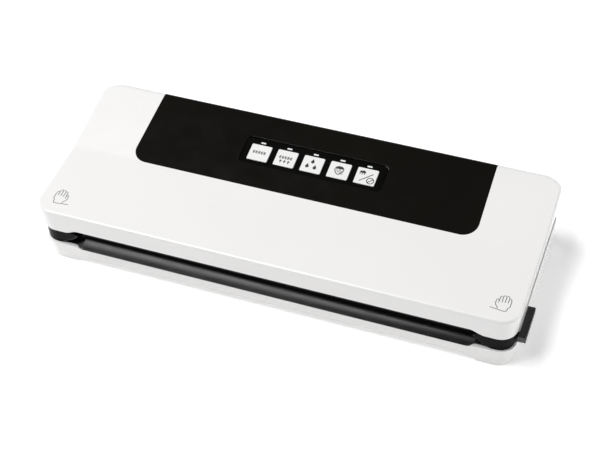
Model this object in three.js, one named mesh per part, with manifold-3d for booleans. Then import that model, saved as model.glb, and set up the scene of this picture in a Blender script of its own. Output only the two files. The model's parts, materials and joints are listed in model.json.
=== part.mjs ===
// Countertop vacuum sealer with a one-piece hinged lid, in millimetres.
// X runs along the sealer, +Y points to the hinge at the back and +Z is up.
// The origin lies under the middle of the sealer, at the level that its feet stand on.
import * as THREE from 'three';
import { mergeVertices } from 'three/addons/utils/BufferGeometryUtils.js';
import Module from 'manifold-3d';

const wasm = await Module();
wasm.setup();

// ---------------------------------------------------------------- driving dimensions

const LENGTH = 365;
const DEPTH = 140;
const CORNER_RADIUS = 14.5;
const GAP = 0.3; // clearance between neighbouring pieces
const WALL = 2.5; // wall of the base and of the deck
const SIDES = [-1, 1]; // left and right, seen from the front
const OVERSHOOT = 5; // how far a cutting tool reaches past the surface that it cuts

const FRONT = -DEPTH / 2;
const BACK = DEPTH / 2;

const LID_TOP = 51; // height of the lid's level front part
const LID_EDGE = 29.5; // lower edge of the lid at the corners and sides
const LID_SLOT_EDGE = 33.5; // lower edge of the lid over the bag slot
const LID_WALL = 3;
const LID_NOTCH = { inner: 149, outer: 160 }; // where the end curves of the slot in the lid's edge lie
const LID_DRAFT = 1.8; // how far the lid's skirt leans in, from its top to its lower edge
const TILT = THREE.MathUtils.degToRad(8.5); // rise of the lid behind the crease, at y = 0
const FRONT_ROUND = 2.5;
const BACK_ROUND = 8;
const ABOVE_ALL = LID_TOP + 20; // a level above the whole sealer

const PANEL_THICKNESS = 1.5;
const PANEL_HALF_FRONT = 134;
const PANEL_HALF_BACK = 132.7;
const PANEL_CORNER = 14;
const PANEL_LOW_EDGE = 42; // how far the panel wraps down the lid's back

const BASE_EDGE = 17.4; // upper edge of the base at the front corners and the back
const BASE_SLOT_EDGE = 15.6; // upper edge of the base below the bag slot
const BASE_SIDE_EDGE = 28.7; // upper edge of the base along its sides, just below the lid
const BASE_NOTCH = { inner: 146, outer: 155 };
const BASE_RISE = { from: FRONT + 6, to: FRONT + 20 }; // where the edge rises behind the front corners
const BASE_FALL = { from: BACK - 14, to: BACK - 4 }; // where it falls again ahead of the back corners
const BASE_INSET = 1.1; // how far the base's upper edge stands inside the lid's outline
const BASE_DRAFT = 1.1; // how far the base's sides lean in towards the bottom
const BELLY = 6; // underside of the base between the feet
const FLOOR = 8.5; // inside of the base's floor
const FOOT_LOW = 1; // lowest level of the base's corner feet
const FOOT_LENGTH = 24;
const ARCH_CURVE = { into: 9.5, out: 1.5 }; // where the arch's end curves lie, from the foot's end

const DECK_TOP = 25;
const DECK_INSET = 2.5;
const DECK_UNDER = DECK_TOP - WALL;
const RIM_TOP = LID_EDGE - 0.5;
const BACK_RIM_TOP = 26;
const SCOOP_HALF = 146; // half length of the finger scoop in the deck's front
const SCOOP_DEPTH = 13.5;

const TROUGH = { halfX: 147.5, front: FRONT + 34.5, back: FRONT + 57.5, bottom: 14, corner: 5 };
const TRAY = { wall: 1.7, rim: 1, rimThickness: 1 }; // the drip tray, whose hollow is the vacuum trough
const GASKET = { halfX: 155.5, front: FRONT + 27.5, back: FRONT + 64.5, width: 6, corner: 10 };
const LINER_LOW = 32.3; // underside of the lid's inner cover
const LINER_THICKNESS = 2;
const LINER_INSET = LID_WALL + LID_DRAFT + 0.5;
const LINER_DROP = 12.5; // depth of the liner's tilted part below the panel
const HEATER = { halfX: 149.7, front: FRONT + 14.3, back: FRONT + 24, top: 25.6 };

const HINGE = { y: BACK - 8, z: 24, pinRadius: 1.5, armRadius: 5, knuckleRadius: 4.5 };
const HINGE_X = 115; // distance of each hinge's arm from the middle
const ARM_WIDTH = 8;
const KNUCKLE_WIDTH = 7.7;

const COVER = { halfX: 160, front: 3, back: 50, drop: 14, wall: 2 };

const KEYPAD_X = 0.8; // the row of keys is a little right of the middle
const KEY_PITCH = 21.05;
const KEY_SIZE = { x: 16.2, y: 14.85, corner: 0.8 };
const KEY_ROW = 31.05; // distance of the row from the crease, along the panel
const LED_ROW = 40.5;
const LED_SIZE = { x: 3.8, y: 1.2 };
const KEYPAD_WINDOW = { x: 1.4, y: 31.75, width: 112.2, depth: 25.1, corner: 4 };
const KEY_NAMES = ['key_seal', 'key_vacuum_seal', 'key_moist', 'key_gentle', 'key_stop'];

const BUTTON = { front: FRONT + 11.5, back: FRONT + 40.5, low: 20.8, high: 26.2, inner: 180.8, outer: 186.8 };
const CASING_X = (LENGTH / 2 - BUTTON.outer) / 2; // puts the origin in the middle of casing and button
const SLIDER = { low: 18.7, high: 21.2, front: FRONT + 15, back: FRONT + 35, inner: 163.8 };
const SPRING = { inner: 153.4, outer: 160.2, y: FRONT + 25, z: 19.9, radius: 1.75, wire: 0.35, turns: 3.5 };
const HOOK = { thickness: 3, barb: 2, front: FRONT + 22, back: FRONT + 28, low: 14.5 };
const HOOKS = { left: -171, right: 168 }; // the left face of each hook, where its barb is
const LINK = { front: FRONT + 17.7, back: FRONT + 20.3, low: 16.2, high: 18.4, tabX: 164.9, tabWidth: 1.6 };
const LINK_PLATE = { x0: -174.2, x1: -161.5, front: FRONT + 16, back: FRONT + 33 };

const SCREW = { shank: 1.5, head: 3, headHeight: 1.8, reach: 9 };
const BOSS_RADIUS = 3.5;
const BASE_SCREW_Z = 6.4; // underside of the heads of the screws that hold the deck to the base
const HOLE_CLEARANCE = 0.35; // added to a shaft's radius, because round holes are many-sided
const LID_SCREWS = [[172, FRONT + 12], [172, FRONT + 58]];
const BASE_SCREWS = [[168, FRONT + 52], [150, FRONT + 127]];
const FOOT_PADS = [[168, 57], [168, -57]];
const PAD_RADIUS = 6;

// ---------------------------------------------------------------- helpers for solids

// Turns a closed three.js geometry into a solid that can be joined and cut.
function solid(geometry) {
  const bare = geometry.clone();
  bare.deleteAttribute('normal');
  bare.deleteAttribute('uv');
  const merged = mergeVertices(bare, 1e-4);
  const mesh = new wasm.Mesh({
    numProp: 3,
    vertProperties: new Float32Array(merged.attributes.position.array),
    triVerts: new Uint32Array(merged.index.array),
  });
  return new wasm.Manifold(mesh);
}

function geometryOf(body) {
  const mesh = body.getMesh();
  const geometry = new THREE.BufferGeometry();
  geometry.setAttribute('position', new THREE.BufferAttribute(new Float32Array(mesh.vertProperties), 3));
  geometry.setIndex(new THREE.BufferAttribute(new Uint32Array(mesh.triVerts), 1));
  const flat = geometry.toNonIndexed();
  flat.computeVertexNormals();
  return flat;
}

const join = (...bodies) => bodies.reduce((whole, next) => whole.add(next));
const cut = (body, ...tools) => tools.reduce((rest, tool) => rest.subtract(tool), body);

function extrusion(shape, length, curveSegments) {
  return new THREE.ExtrudeGeometry(shape, { depth: length, bevelEnabled: false, curveSegments });
}

// Extrudes a plan outline from z = low to z = high.
function prismZ(shape, low, high, curveSegments = 4) {
  return extrusion(shape, high - low, curveSegments).translate(0, 0, low);
}

// Extrudes an outline drawn in (y, z) from x = low to x = high.
function prismX(shape, low, high, curveSegments = 4) {
  const turn = new THREE.Matrix4().makeBasis(
    new THREE.Vector3(0, 1, 0),
    new THREE.Vector3(0, 0, 1),
    new THREE.Vector3(1, 0, 0),
  );
  return extrusion(shape, high - low, curveSegments).applyMatrix4(turn).translate(low, 0, 0);
}

// Extrudes an outline drawn in (x, z) from y = low to y = high.
function prismY(shape, low, high, curveSegments = 5) {
  return extrusion(shape, high - low, curveSegments).rotateX(Math.PI / 2).translate(0, high, 0);
}

function block(x0, x1, y0, y1, z0, z1) {
  const geometry = new THREE.BoxGeometry(x1 - x0, y1 - y0, z1 - z0);
  return solid(geometry.translate((x0 + x1) / 2, (y0 + y1) / 2, (z0 + z1) / 2));
}

// A block drawn for the right side of the sealer, or mirrored to the left side.
function sideBlock(side, x0, x1, ...rest) {
  return side < 0 ? block(-x1, -x0, ...rest) : block(x0, x1, ...rest);
}

// A round bar along an axis, from low to high, with its middle line at the other two coordinates.
function rod(axis, radius, low, high, a, b, sides = 16) {
  const geometry = new THREE.CylinderGeometry(radius, radius, high - low, sides);
  const middle = (low + high) / 2;
  if (axis === 'x') return solid(geometry.rotateZ(Math.PI / 2).translate(middle, a, b));
  if (axis === 'y') return solid(geometry.translate(a, middle, b));
  return solid(geometry.rotateX(Math.PI / 2).translate(a, b, middle));
}

function roundedRect(width, depth, radius, x = 0, y = 0) {
  const right = x + width / 2 - radius;
  const left = x - width / 2 + radius;
  const back = y + depth / 2 - radius;
  const front = y - depth / 2 + radius;
  const shape = new THREE.Shape();
  shape.absarc(right, front, radius, -Math.PI / 2, 0);
  shape.absarc(right, back, radius, 0, Math.PI / 2);
  shape.absarc(left, back, radius, Math.PI / 2, Math.PI);
  shape.absarc(left, front, radius, Math.PI, 1.5 * Math.PI);
  return shape;
}

function polygon(points) {
  return new THREE.Shape(points.map(([a, b]) => new THREE.Vector2(a, b)));
}

// The sealer's plan outline, moved in by an inset all round.
const outline = (inset) => roundedRect(LENGTH - 2 * inset, DEPTH - 2 * inset, CORNER_RADIUS - inset);

// A region of (x, z) between a level line and a curve that changes height near both ends of the sealer.
function steppedShape({ inner: innerHalf, outer: outerHalf }, innerLevel, outerLevel, flatLevel) {
  const end = LENGTH / 2 + 10;
  const middle = (innerHalf + outerHalf) / 2;
  const shape = new THREE.Shape();
  shape.moveTo(-end, outerLevel);
  shape.lineTo(-outerHalf, outerLevel);
  shape.bezierCurveTo(-middle, outerLevel, -middle, innerLevel, -innerHalf, innerLevel);
  shape.lineTo(innerHalf, innerLevel);
  shape.bezierCurveTo(middle, innerLevel, middle, outerLevel, outerHalf, outerLevel);
  shape.lineTo(end, outerLevel);
  shape.lineTo(end, flatLevel);
  shape.lineTo(-end, flatLevel);
  return shape;
}

// Leans the sides in below z = top, by the given inset at z = bottom. The back can stay upright.
function drafted(geometry, top, bottom, inset, leanBack) {
  const place = geometry.attributes.position;
  for (let i = 0; i < place.count; i += 1) {
    const share = THREE.MathUtils.clamp((top - place.getZ(i)) / (top - bottom), 0, 1) * inset;
    place.setX(i, place.getX(i) * (1 - share / (LENGTH / 2)));
    if (leanBack || place.getY(i) < 0) place.setY(i, place.getY(i) * (1 - share / (DEPTH / 2)));
  }
  return geometry;
}

// An extruded outline cut in two at the height where its draft starts.
function draftedPrism(shape, low, knee, high, inset, leanBack) {
  const geometry = extrusionWithKnee(shape, low, knee, high);
  return solid(drafted(geometry, knee, low, inset, leanBack));
}

// One extrusion with a ring of points at the knee, so that only the part below it leans.
function extrusionWithKnee(shape, low, knee, high) {
  const steps = { depth: 2, steps: 2, bevelEnabled: false, curveSegments: 4 };
  const geometry = new THREE.ExtrudeGeometry(shape, steps);
  const levels = [low, knee, high];
  const place = geometry.attributes.position;
  for (let i = 0; i < place.count; i += 1) place.setZ(i, levels[Math.round(place.getZ(i))]);
  return geometry;
}

// ---------------------------------------------------------------- the lid's top surface

// Height of the plane that is parallel to the tilted panel, a given distance above it.
const tiltedHeight = (y, above) => LID_TOP + y * Math.tan(TILT) + above / Math.cos(TILT);

// Side view of the lid's top, moved in by an inset: level in front of the crease, rising behind it,
// with a small round at the front edge and a large one at the back edge.
function topProfile(inset) {
  const frontRound = Math.max(FRONT_ROUND - inset, 0.2);
  const backRound = Math.max(BACK_ROUND - inset, 0.2);
  const back = BACK - inset;
  const front = FRONT + inset;
  const crease = -inset * Math.tan(TILT / 2);
  const backCentre = back - backRound;
  const backCentreZ = tiltedHeight(backCentre, -inset - backRound);
  const shape = new THREE.Shape();
  shape.moveTo(back, 0);
  shape.lineTo(back, backCentreZ);
  shape.absarc(backCentre, backCentreZ, backRound, 0, Math.PI / 2 + TILT);
  shape.lineTo(crease, LID_TOP - inset);
  shape.absarc(front + frontRound, LID_TOP - inset - frontRound, frontRound, Math.PI / 2, Math.PI);
  shape.lineTo(front, 0);
  return shape;
}

const underTop = (inset) => solid(prismX(topProfile(inset), -LENGTH, LENGTH, 3));

// Plan outline of the control panel, which runs out over the lid's back edge.
function panelOutline(inset) {
  const beyond = BACK + 5;
  const half = PANEL_HALF_FRONT - inset;
  const centre = half - PANEL_CORNER;
  const shape = new THREE.Shape();
  shape.moveTo(PANEL_HALF_BACK - inset, beyond);
  shape.lineTo(-PANEL_HALF_BACK + inset, beyond);
  shape.absarc(-centre, inset + PANEL_CORNER, PANEL_CORNER, Math.PI, 1.5 * Math.PI);
  shape.absarc(centre, inset + PANEL_CORNER, PANEL_CORNER, -Math.PI / 2, 0);
  return shape;
}

// Moves a solid from the panel's own frame, with its origin on the crease, to the sealer's frame.
const panelFrame = new THREE.Matrix4().makeRotationX(TILT).setPosition(0, 0, LID_TOP);
const onPanel = (geometry) => solid(geometry.applyMatrix4(panelFrame));

function windowShape(inset) {
  const { x, y, width, depth, corner } = KEYPAD_WINDOW;
  return roundedRect(width - 2 * inset, depth - 2 * inset, corner - inset, x, y);
}

const keyCentres = KEY_NAMES.map((name, i) => KEYPAD_X + (i - 2) * KEY_PITCH);

const BOARD = { x: KEYPAD_WINDOW.x, y: KEYPAD_WINDOW.y, width: 126, depth: 31, low: -8.8, high: -7.2 };
const BOARD_POSTS = [[-59, -11], [59, -11], [-59, 11], [59, 11]];

// ---------------------------------------------------------------- materials

const plastic = (color, roughness) => new THREE.MeshStandardMaterial({ color, roughness, metalness: 0 });
const metal = (color, roughness) => new THREE.MeshStandardMaterial({ color, roughness, metalness: 1 });

const whiteGloss = plastic(0xf4f3f1, 0.18);
const blackGloss = plastic(0x0c0b09, 0.08);
const blackSatin = plastic(0x16161a, 0.35);
const blackMatte = plastic(0x141414, 0.6);
const keyWhite = plastic(0xf7f7f5, 0.35);
const clearLens = plastic(0xe9eef0, 0.2);
const foam = plastic(0x2b2b2d, 0.95);
const silicone = plastic(0x8a8d90, 0.7);
const tapeBrown = plastic(0x8a6a45, 0.5);
const phenolic = plastic(0x5a4634, 0.6);
const boardGreen = plastic(0x1f5a38, 0.5);
const coilWrap = plastic(0xc9a227, 0.5);
const rubber = plastic(0x1b1b1c, 0.85);
const steel = metal(0xb9bcc0, 0.3);
const ironCore = metal(0x5c5f63, 0.55);

function piece(name, body, material) {
  const mesh = new THREE.Mesh(body.isBufferGeometry ? body : geometryOf(body), material);
  mesh.name = name;
  return mesh;
}

const sideName = (side) => (side < 0 ? 'left' : 'right');

// ---------------------------------------------------------------- lid

function lidShell() {
  const knee = LID_TOP - FRONT_ROUND;
  const outer = draftedPrism(outline(0), LID_EDGE, knee, ABOVE_ALL, LID_DRAFT, false);
  const hollow = draftedPrism(outline(LID_WALL), LID_EDGE - 1, knee, ABOVE_ALL, LID_DRAFT, false);
  let lid = cut(outer.intersect(underTop(0)), hollow.intersect(underTop(LID_WALL)));

  const slot = steppedShape(LID_NOTCH, LID_SLOT_EDGE, LID_EDGE - 0.5, LID_EDGE - OVERSHOOT);
  lid = cut(lid, solid(prismY(slot, FRONT - OVERSHOOT, FRONT + LID_WALL + LID_DRAFT + 1)));

  const pocketDepth = PANEL_THICKNESS + GAP;
  const pocket = cut(
    solid(prismZ(panelOutline(0), PANEL_LOW_EDGE, ABOVE_ALL)),
    underTop(pocketDepth),
  );
  const window = onPanel(prismZ(windowShape(0), -10, 10));
  lid = cut(lid, pocket, window);

  for (const side of SIDES) {
    for (const [x, y] of LID_SCREWS) {
      const bossLow = LINER_LOW + LINER_THICKNESS + GAP;
      const boss = rod('z', BOSS_RADIUS, bossLow, LID_TOP - 1, side * x, y);
      const hole = rod('z', SCREW.shank + HOLE_CLEARANCE, LID_EDGE, bossLow + SCREW.reach, side * x, y, 10);
      lid = cut(join(lid, boss), hole);
    }
  }
  for (const [x, y] of BOARD_POSTS) {
    const postTop = 1 - LID_WALL;
    const postLow = BOARD.high + GAP;
    const post = new THREE.CylinderGeometry(2.5, 2.5, postTop - postLow, 12);
    const middle = (postTop + postLow) / 2;
    lid = join(lid, onPanel(post.rotateX(Math.PI / 2).translate(BOARD.x + x, BOARD.y + y, middle)));
  }
  return lid;
}

function controlPanel() {
  const shape = panelOutline(GAP);
  const skin = cut(
    solid(prismZ(shape, PANEL_LOW_EDGE + GAP, ABOVE_ALL)).intersect(underTop(0)),
    underTop(PANEL_THICKNESS),
  );
  return cut(skin, onPanel(prismZ(windowShape(0), -10, 10)));
}

// The lid's inner cover: level over the deck, then a step up and a tilted part over the works.
function lidLiner() {
  const step = -3;
  const back = BACK - 5;
  const low = -LINER_DROP;
  const high = low + LINER_THICKNESS;
  const profile = polygon([
    [FRONT, LINER_LOW],
    [step + LINER_THICKNESS, LINER_LOW],
    [step + LINER_THICKNESS, tiltedHeight(step + LINER_THICKNESS, low)],
    [back, tiltedHeight(back, low)],
    [back, tiltedHeight(back, high)],
    [step, tiltedHeight(step, high)],
    [step, LINER_LOW + LINER_THICKNESS],
    [FRONT, LINER_LOW + LINER_THICKNESS],
  ]);
  const plan = solid(prismZ(outline(LINER_INSET), DECK_TOP, ABOVE_ALL));
  const screwHole = [LINER_LOW - 2, LINER_LOW + LINER_THICKNESS + 2];
  let liner = solid(prismX(profile, -LENGTH / 2, LENGTH / 2)).intersect(plan);
  for (const side of SIDES) {
    liner = join(liner, hingeArm(side * HINGE_X, tiltedHeight(HINGE.y, low + 0.5)));
    liner = cut(liner, rod('x', HINGE.pinRadius + HOLE_CLEARANCE, -130, 130, HINGE.y, HINGE.z));
    for (const [x, y] of LID_SCREWS) {
      liner = cut(liner, rod('z', SCREW.shank + HOLE_CLEARANCE, ...screwHole, side * x, y, 10));
    }
  }
  return liner;
}

function hingeArm(x, top) {
  const x0 = x - ARM_WIDTH / 2;
  const x1 = x + ARM_WIDTH / 2;
  const eye = rod('x', HINGE.armRadius, x0, x1, HINGE.y, HINGE.z, 16);
  return join(eye, block(x0, x1, HINGE.y - 4, BACK - 5, HINGE.z, top));
}

function gasketRing(low, high) {
  const { halfX, front, back, width, corner } = GASKET;
  const middle = (front + back) / 2;
  const shape = roundedRect(2 * halfX, back - front, corner, 0, middle);
  shape.holes.push(roundedRect(2 * (halfX - width), back - front - 2 * width, corner - width, 0, middle));
  return solid(prismZ(shape, low, high, 3));
}

function pressureStrip() {
  const middle = (HEATER.front + HEATER.back) / 2;
  return block(-HEATER.halfX, HEATER.halfX, middle - 4.5, middle + 4.5, 26.9, LINER_LOW - GAP);
}

// A hook that hangs from the lid's inner cover. The barbs of both hooks point left, so that one
// movement of the slider and its link frees both.
function latchHook(x) {
  const { thickness, barb, front, back, low } = HOOK;
  const barbTop = SLIDER.low - GAP;
  const profile = polygon([
    [x, LINER_LOW - GAP],
    [x, barbTop],
    [x - barb, barbTop],
    [x - barb, barbTop - 1.5],
    [x + 0.5, low],
    [x + thickness, low],
    [x + thickness, LINER_LOW - GAP],
  ]);
  return solid(prismY(profile, front, back));
}

function screw() {
  const { shank, head, headHeight, reach } = SCREW;
  const points = [
    [0, 0],
    [head * 0.55, 0],
    [head * 0.9, headHeight * 0.4],
    [head, headHeight],
    [shank, headHeight],
    [shank, headHeight + reach],
    [0, headHeight + reach + shank],
  ];
  const profile = points.map(([r, z]) => new THREE.Vector2(r, z));
  return new THREE.LatheGeometry(profile, 10).rotateX(Math.PI / 2);
}

function screwPiece(name, x, y, z) {
  const mesh = piece(name, screw(), steel);
  mesh.position.set(x, y, z);
  return mesh;
}

// ---------------------------------------------------------------- keypad, in the panel's own frame

function keypadBezel() {
  const shape = windowShape(GAP);
  for (const x of keyCentres) {
    shape.holes.push(roundedRect(KEY_SIZE.x + 0.7, KEY_SIZE.y + 0.7, 1.1, x, KEY_ROW));
    shape.holes.push(roundedRect(LED_SIZE.x + 0.7, LED_SIZE.y + 0.7, 0.4, x, LED_ROW));
  }
  return prismZ(shape, -2.9, -0.8, 1);
}

function keyCap() {
  return prismZ(roundedRect(KEY_SIZE.x, KEY_SIZE.y, KEY_SIZE.corner), -4.2, -0.5, 1);
}

function lightGuide() {
  const first = keyCentres[0] - 3;
  const last = keyCentres[keyCentres.length - 1] + 3;
  let guide = block(first, last, LED_ROW - 1.3, LED_ROW + 2.7, -5, -3.2);
  for (const x of keyCentres) {
    const lens = roundedRect(LED_SIZE.x, LED_SIZE.y, 0.25, x, LED_ROW);
    guide = join(guide, solid(prismZ(lens, -4, -0.7, 1)));
  }
  return guide;
}

function keypadBoard() {
  const { x, y, width, depth, low, high } = BOARD;
  let board = block(x - width / 2, x + width / 2, y - depth / 2, y + depth / 2, low, high);
  for (const centre of keyCentres) {
    const tactSwitch = block(centre - 3, centre + 3, KEY_ROW - 3, KEY_ROW + 3, high - 0.5, high + 1.6);
    const plunger = rod('z', 1.6, high + 1, high + 1.9, centre, KEY_ROW, 10);
    const lamp = block(centre - 1.5, centre + 1.5, LED_ROW - 1, LED_ROW + 1, high - 0.5, high + 1);
    board = join(board, tactSwitch, plunger, lamp);
  }
  return board;
}

// ---------------------------------------------------------------- base

const MOTOR = { y: 28, z: 24.5, radius: 12, x0: 40, x1: 88 };
const MOTOR_RIBS = [50, 78]; // the ribs that carry the motor
const TRANSFORMER = { x: -125, y: 27, halfX: 24, halfY: 18, low: 14.5, high: 30.5 };
const POWER_BOARD = { x0: -92, x1: 32, y0: 10, y1: 46, low: 12, high: 13.6 };
const CORD_INLET = { x: -140, z: 12.9, radius: 3.4 };
const SEAT_TOP = 12; // top of the seats that the deck's screw posts stand on
const HOSE_LEVEL = 18;
const VENT = { firsts: [-139, 50], pitch: 7, count: 5, halfWidth: 1.5, front: 15, back: 41 };

function baseShell() {
  const knee = BASE_EDGE - 1;
  const outer = draftedPrism(outline(BASE_INSET), FOOT_LOW, knee, BASE_SIDE_EDGE, BASE_DRAFT, true);
  const hollow = draftedPrism(outline(BASE_INSET + WALL), FLOOR, knee, ABOVE_ALL, 0.6, true);
  const aboveEdge = solid(prismX(edgeFromSide(0, BASE_SIDE_EDGE + 1), -LENGTH, LENGTH, 5));
  let shell = cut(outer, hollow, aboveEdge);

  const archEnd = LENGTH / 2 - FOOT_LENGTH;
  const arch = { inner: archEnd - ARCH_CURVE.into, outer: archEnd + ARCH_CURVE.out };
  const alongX = steppedShape(arch, BELLY, -2, -OVERSHOOT);
  const slot = steppedShape(BASE_NOTCH, BASE_SLOT_EDGE, BASE_EDGE, ABOVE_ALL);
  shell = cut(
    shell,
    solid(prismY(alongX, FRONT - OVERSHOOT, BACK + OVERSHOOT)),
    solid(prismX(sideArch(), -LENGTH, LENGTH, 5)),
    solid(prismY(slot, FRONT - OVERSHOOT, FRONT + BASE_INSET + WALL + 4)),
  );
  return withFittings(shell);
}

// The region above the base's edge, seen from the side: low at the front and the back, high between.
// A margin moves the whole curve outwards, for a piece that keeps clear of the base.
function edgeFromSide(margin, top) {
  const rise = { from: BASE_RISE.from - margin, to: BASE_RISE.to - margin };
  const fall = { from: BASE_FALL.from + margin, to: BASE_FALL.to + margin };
  const lowLevel = BASE_EDGE + margin;
  const highLevel = BASE_SIDE_EDGE + margin;
  const riseMiddle = (rise.from + rise.to) / 2;
  const fallMiddle = (fall.from + fall.to) / 2;
  const shape = new THREE.Shape();
  shape.moveTo(FRONT - OVERSHOOT, lowLevel);
  shape.lineTo(rise.from, lowLevel);
  shape.bezierCurveTo(riseMiddle, lowLevel, riseMiddle, highLevel, rise.to, highLevel);
  shape.lineTo(fall.from, highLevel);
  shape.bezierCurveTo(fallMiddle, highLevel, fallMiddle, lowLevel, fall.to, lowLevel);
  shape.lineTo(BACK + OVERSHOOT, lowLevel);
  shape.lineTo(BACK + OVERSHOOT, top);
  shape.lineTo(FRONT - OVERSHOOT, top);
  return shape;
}

// The arch between the feet, seen from the side, as an outline in (y, z).
function sideArch() {
  const end = BACK - FOOT_LENGTH;
  const inner = end - ARCH_CURVE.into;
  const outer = end + ARCH_CURVE.out;
  const middle = (inner + outer) / 2;
  const shape = new THREE.Shape();
  shape.moveTo(-outer, -2);
  shape.bezierCurveTo(-middle, -2, -middle, BELLY, -inner, BELLY);
  shape.lineTo(inner, BELLY);
  shape.bezierCurveTo(middle, BELLY, middle, -2, outer, -2);
  return shape;
}

// Posts, screw seats, pad recesses, vents and the cord hole of the base.
function withFittings(bare) {
  let shell = bare;
  for (const side of SIDES) {
    for (const [x, y] of BASE_SCREWS) {
      const headTop = BASE_SCREW_Z + SCREW.headHeight + GAP;
      const seat = rod('z', 5, FLOOR - 1, SEAT_TOP, side * x, y);
      const headPocket = rod('z', SCREW.head + HOLE_CLEARANCE, BELLY - 2, headTop, side * x, y);
      const hole = rod('z', SCREW.shank + HOLE_CLEARANCE, BELLY, SEAT_TOP + 1, side * x, y, 10);
      shell = cut(join(shell, seat), headPocket, hole);
    }
    for (const [x, y] of FOOT_PADS) {
      shell = cut(shell, rod('z', PAD_RADIUS + 0.4, 0, FOOT_LOW + 2, side * x, y, 24));
    }
    for (const end of SIDES) shell = join(shell, corePost(side, end), boardPost(side, end));
  }
  for (const ribX of MOTOR_RIBS) {
    const rib = block(ribX - 1.5, ribX + 1.5, MOTOR.y - 14, MOTOR.y + 14, FLOOR - 1, MOTOR.z - 4);
    const seat = rod('x', MOTOR.radius + 0.4, ribX - 3, ribX + 3, MOTOR.y, MOTOR.z, 24);
    shell = join(shell, cut(rib, seat));
  }
  const { firsts, pitch, count, halfWidth, front, back } = VENT;
  for (let i = 0; i < count; i += 1) {
    for (const first of firsts) {
      const x = first + i * pitch;
      shell = cut(shell, block(x - halfWidth, x + halfWidth, front, back, BELLY - 1, FLOOR + 1));
    }
  }
  const cordHole = rod('y', CORD_INLET.radius, BACK - 8, BACK + OVERSHOOT, CORD_INLET.x, CORD_INLET.z);
  return cut(shell, cordHole, ...buttonWindows());
}

function corePost(side, end) {
  const { x, y, halfX, halfY, low } = TRANSFORMER;
  return rod('z', 3, FLOOR - 1, low - GAP, x + side * (halfX - 5), y + end * (halfY - 4), 12);
}

function boardPost(side, end) {
  const { x0, x1, y0, y1, low } = POWER_BOARD;
  const x = (x0 + x1) / 2 + side * ((x1 - x0) / 2 - 6);
  const y = (y0 + y1) / 2 + end * ((y1 - y0) / 2 - 4);
  return rod('z', 3, FLOOR - 1, low - GAP, x, y, 12);
}

function footPad() {
  const points = [[0, 0], [PAD_RADIUS - 0.8, 0], [PAD_RADIUS, 0.8], [PAD_RADIUS, 2.7], [0, 2.7]];
  const profile = points.map(([r, z]) => new THREE.Vector2(r, z));
  return new THREE.LatheGeometry(profile, 16).rotateX(Math.PI / 2);
}

// A rubber bushing in the back wall that the mains lead passes through.
function cordInlet() {
  const bore = 2.2;
  const neck = CORD_INLET.radius - GAP;
  const flange = 3.9;
  const face = BACK - 0.1;
  const points = [
    [bore, face],
    [bore, face - 6.4],
    [flange, face - 6.4],
    [flange, face - 5.2],
    [neck, face - 5.2],
    [neck, face - 1],
    [flange, face - 1],
    [flange, face],
    [bore, face],
  ];
  const profile = points.map(([r, y]) => new THREE.Vector2(r, y));
  return new THREE.LatheGeometry(profile, 14).translate(CORD_INLET.x, 0, CORD_INLET.z);
}

// ---------------------------------------------------------------- deck

// Side view of the concave finger scoop, a sheet of one wall's thickness.
function scoopProfile() {
  const radius = 22;
  const lip = 0.8;
  const start = THREE.MathUtils.degToRad(-74.7);
  const end = THREE.MathUtils.degToRad(-35.9);
  const centreY = FRONT + 1.4 - radius * Math.cos(start);
  const centreZ = BASE_SLOT_EDGE + GAP + lip - radius * Math.sin(start);
  const shape = new THREE.Shape();
  shape.absarc(centreY, centreZ, radius, start, end);
  shape.lineTo(FRONT + SCOOP_DEPTH, DECK_TOP);
  shape.lineTo(FRONT + SCOOP_DEPTH + 2, DECK_TOP);
  shape.lineTo(FRONT + SCOOP_DEPTH + 2, DECK_UNDER);
  shape.lineTo(FRONT + SCOOP_DEPTH, DECK_UNDER - 1);
  shape.lineTo(FRONT + 8.5, BASE_SLOT_EDGE);
  shape.lineTo(FRONT + 4.2, BASE_SLOT_EDGE - 1.5);
  shape.lineTo(FRONT + 4.2, BASE_SLOT_EDGE + GAP);
  shape.lineTo(centreY + radius * Math.cos(start), BASE_SLOT_EDGE + GAP);
  return shape;
}

function baseDeck() {
  const ring = outline(DECK_INSET);
  ring.holes.push(outline(DECK_INSET + WALL));
  let deck = join(
    solid(prismZ(outline(DECK_INSET + 1), DECK_UNDER, DECK_TOP)),
    solid(prismZ(ring, BASE_SLOT_EDGE - 1, RIM_TOP)),
  );
  const frontSeat = steppedShape(BASE_NOTCH, BASE_SLOT_EDGE + GAP, BASE_EDGE + GAP, 0);
  const backOfAll = BACK + OVERSHOOT;
  deck = cut(
    deck,
    solid(prismY(frontSeat, FRONT - OVERSHOOT, FRONT + 12)),
    block(-LENGTH, LENGTH, FRONT + 10, backOfAll, 0, BASE_EDGE + GAP),
    block(-LENGTH, LENGTH, BACK - 12, backOfAll, BACK_RIM_TOP, LID_TOP),
    block(-SCOOP_HALF, SCOOP_HALF, FRONT - OVERSHOOT, FRONT + SCOOP_DEPTH + 1, 0, ABOVE_ALL),
    aroundDeck(),
  );
  deck = join(deck, solid(prismX(scoopProfile(), -SCOOP_HALF - 1, SCOOP_HALF + 1, 4)));
  return latchAndHingeDetails(withWells(deck));
}

// The space of the base's raised side walls, with clearance.
function aroundDeck() {
  const ring = outline(-OVERSHOOT);
  ring.holes.push(outline(BASE_INSET + WALL + GAP));
  const band = solid(prismZ(ring, 0, ABOVE_ALL));
  const above = solid(prismX(edgeFromSide(GAP, 2 * ABOVE_ALL), -LENGTH, LENGTH, 5));
  return cut(band, above);
}

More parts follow.
